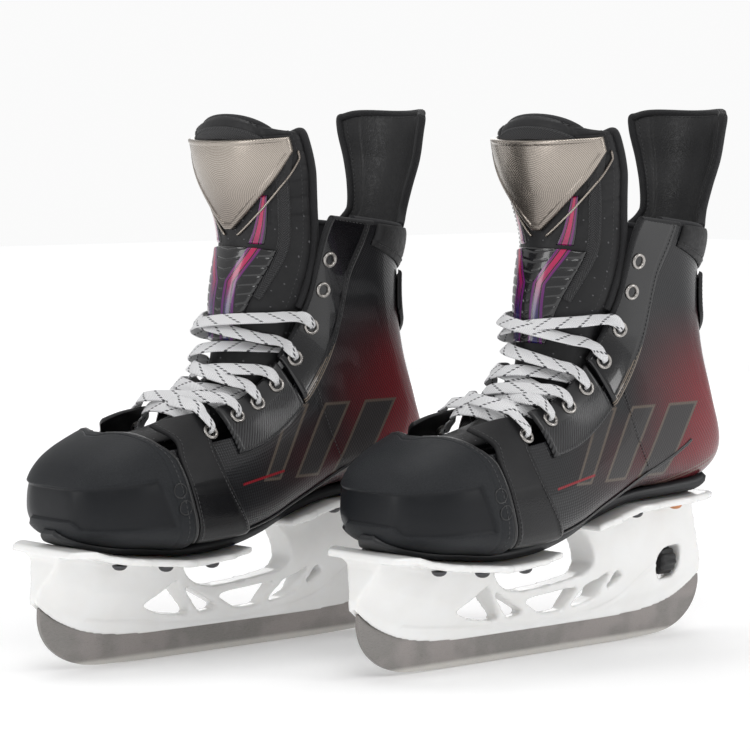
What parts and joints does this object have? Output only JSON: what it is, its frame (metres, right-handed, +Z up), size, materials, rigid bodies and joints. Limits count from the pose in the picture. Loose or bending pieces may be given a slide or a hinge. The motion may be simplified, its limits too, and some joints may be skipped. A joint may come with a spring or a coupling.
{
  "type": "ice hockey skates",
  "caption": "Pair of laced ice hockey skates with stiff black boots, white runner holders, steel runners and padded tongues.",
  "frame": {"origin": "middle of the pair's bounding box, on the ice plane", "axes": "+Z up; toes toward -X; the wearer's left skate on the -Y side, 119.5 mm further back than the right; both run parallel to X"},
  "size_m": [0.4074, 0.2394, 0.3235],
  "materials": {
    "steel": "ground sides, satin",
    "holder_plastic": "glossy warm white",
    "black_plastic": "matte ribbed",
    "bolt_steel": "plain",
    "outsole": "satin",
    "shell": "composite weave under a clear coat",
    "cap": "fine grain",
    "panel": "moulded and stitched",
    "eyelet_metal": "nickel plated",
    "tongue_felt": "padded cloth",
    "badge": "metallic champagne",
    "guard_plastic": "red to purple gloss on black",
    "liner_cloth": "brushed cloth",
    "footbed_foam": "foam",
    "pad_leather": "soft matte",
    "guard_leather": "embossed, bound edge",
    "rivet_steel": "dark",
    "lace_cotton": "flat woven with grey tracers"
  },
  "bodies": {
    "left_skate": {"L_holder": "holder_plastic", "L_outsole": "outsole", "L_boot_shell": "shell", "L_toe_cap": "cap", "L_saddle_lateral": "panel", "L_saddle_medial": "panel", "L_eyestay_lateral": "panel", "L_eyestay_medial": "panel", "L_facing_lateral": "panel", "L_facing_medial": "panel", "L_eyelets_lateral": "eyelet_metal", "L_eyelets_medial": "eyelet_metal", "L_tongue_lower": "tongue_felt", "L_lace_guard": "guard_plastic", "L_liner": "liner_cloth", "L_footbed": "footbed_foam", "L_collar_pad": "pad_leather", "L_tendon_base": "panel", "L_rivet_front_lateral": "rivet_steel", "L_rivet_front_medial": "rivet_steel", "L_rivet_rear_lateral": "rivet_steel", "L_rivet_rear_medial": "rivet_steel", "L_lace": "lace_cotton"},
    "left_runner": {"L_runner": "steel"},
    "left_wheel": {"L_lock_wheel": "black_plastic"},
    "left_bolt": {"L_lock_bolt": "bolt_steel"},
    "left_guard": {"L_tendon_guard": "guard_leather"},
    "left_tongue": {"L_tongue_top": "tongue_felt", "L_tongue_badge": "badge"},
    "right_skate": {"R_holder": "holder_plastic", "R_outsole": "outsole", "R_boot_shell": "shell", "R_toe_cap": "cap", "R_saddle_lateral": "panel", "R_saddle_medial": "panel", "R_eyestay_lateral": "panel", "R_eyestay_medial": "panel", "R_facing_lateral": "panel", "R_facing_medial": "panel", "R_eyelets_lateral": "eyelet_metal", "R_eyelets_medial": "eyelet_metal", "R_tongue_lower": "tongue_felt", "R_lace_guard": "guard_plastic", "R_liner": "liner_cloth", "R_footbed": "footbed_foam", "R_collar_pad": "pad_leather", "R_tendon_base": "panel", "R_rivet_front_lateral": "rivet_steel", "R_rivet_front_medial": "rivet_steel", "R_rivet_rear_lateral": "rivet_steel", "R_rivet_rear_medial": "rivet_steel", "R_lace": "lace_cotton"},
    "right_runner": {"R_runner": "steel"},
    "right_wheel": {"R_lock_wheel": "black_plastic"},
    "right_bolt": {"R_lock_bolt": "bolt_steel"},
    "right_guard": {"R_tendon_guard": "guard_leather"},
    "right_tongue": {"R_tongue_top": "tongue_felt", "R_tongue_badge": "badge"}
  },
  "joints": [
    {"name": "left_runner_release", "type": "hinge", "parent": "left_skate", "child": "left_runner", "pos_m": [-0.07775, -0.0699, 0.038], "axis": [0, 1, 0], "range_deg": [0, 8]},
    {"name": "left_lock_wheel_turn", "type": "hinge", "parent": "left_skate", "child": "left_wheel", "pos_m": [0.17025, -0.0699, 0.046], "axis": [1, 0, 0], "range_deg": [0, 720]},
    {"name": "left_lock_bolt_travel", "type": "slide", "parent": "left_skate", "child": "left_bolt", "axis": [-1, 0, 0], "range_m": [0, 0.0045]},
    {"name": "left_tendon_guard_flex", "type": "hinge", "parent": "left_skate", "child": "left_guard", "pos_m": [0.19025, -0.0699, 0.254], "axis": [0, 1, 0], "range_deg": [0, 25], "stiffness_Nm_per_rad": 0.6},
    {"name": "left_tongue_flop", "type": "hinge", "parent": "left_skate", "child": "left_tongue", "pos_m": [0.06275, -0.0699, 0.2445], "axis": [0, -1, 0], "range_deg": [0, 45], "stiffness_Nm_per_rad": 0.5},
    {"name": "right_runner_release", "type": "hinge", "parent": "right_skate", "child": "right_runner", "pos_m": [-0.19725, 0.0699, 0.038], "axis": [0, 1, 0], "range_deg": [0, 8]},
    {"name": "right_lock_wheel_turn", "type": "hinge", "parent": "right_skate", "child": "right_wheel", "pos_m": [0.05075, 0.0699, 0.046], "axis": [1, 0, 0], "range_deg": [0, 720]},
    {"name": "right_lock_bolt_travel", "type": "slide", "parent": "right_skate", "child": "right_bolt", "axis": [-1, 0, 0], "range_m": [0, 0.0045]},
    {"name": "right_tendon_guard_flex", "type": "hinge", "parent": "right_skate", "child": "right_guard", "pos_m": [0.07075, 0.0699, 0.254], "axis": [0, 1, 0], "range_deg": [0, 25], "stiffness_Nm_per_rad": 0.6},
    {"name": "right_tongue_flop", "type": "hinge", "parent": "right_skate", "child": "right_tongue", "pos_m": [-0.05675, 0.0699, 0.2445], "axis": [0, -1, 0], "range_deg": [0, 45], "stiffness_Nm_per_rad": 0.5},
    {"name": "right_skate_lift", "type": "slide", "parent": "left_skate", "child": "right_skate", "axis": [0, 0, 1], "range_m": [0, 0.33]}
  ],
  "couplings": [
    {"joint": "left_lock_wheel_turn", "follows": "left_lock_bolt_travel", "rad_per_m": 2792.5},
    {"joint": "right_lock_wheel_turn", "follows": "right_lock_bolt_travel", "rad_per_m": 2792.5}
  ]
}
